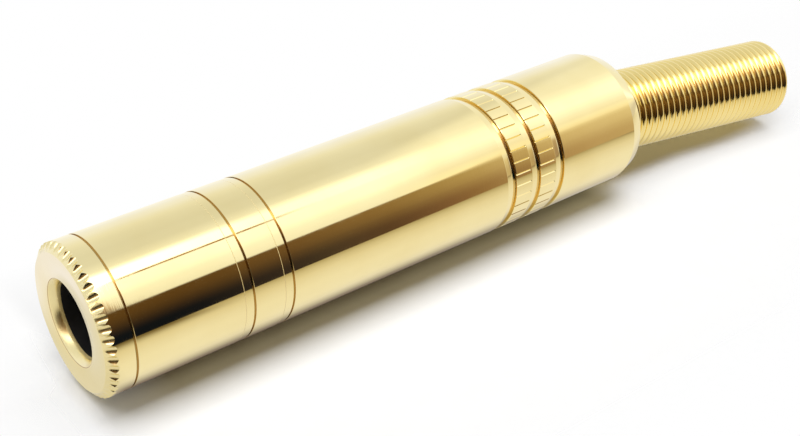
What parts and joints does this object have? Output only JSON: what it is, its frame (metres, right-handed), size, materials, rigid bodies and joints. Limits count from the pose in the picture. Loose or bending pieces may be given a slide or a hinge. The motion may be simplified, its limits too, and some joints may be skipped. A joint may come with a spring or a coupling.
{
  "type": "inline stereo jack",
  "caption": "Slim gold-plated inline socket for a 6.35 mm stereo plug, with a scalloped nose, a knurled grip and a coil-spring cable guard.",
  "frame": {"origin": "centre of the nose face, on the barrel's axis, where the part stands", "axes": "+Z along the barrel's axis from the nose to the spring; +Y is the side that the spring leans to"},
  "size_m": [0.013, 0.0134, 0.0802],
  "materials": {
    "gold_plate": "polished gold plating on turned brass",
    "gold_wire": "polished gold plating on round spring wire",
    "tube_plastic": "thin extruded plastic tube",
    "black_plastic": "black moulded plastic",
    "contact_metal": "plated spring bronze"
  },
  "bodies": {
    "root": {"front_nut": "gold_plate", "front_sleeve": "gold_plate", "coupling_collar": "gold_plate", "rear_shell": "gold_plate", "strain_relief_spring": "gold_wire", "insulating_tube": "tube_plastic", "insert_body": "black_plastic", "insert_cap": "black_plastic", "tip_contact": "contact_metal", "ring_contact": "contact_metal", "sleeve_contact": "contact_metal", "cable_clamp": "contact_metal", "clamp_rivet": "contact_metal"}
  },
  "joints": []
}
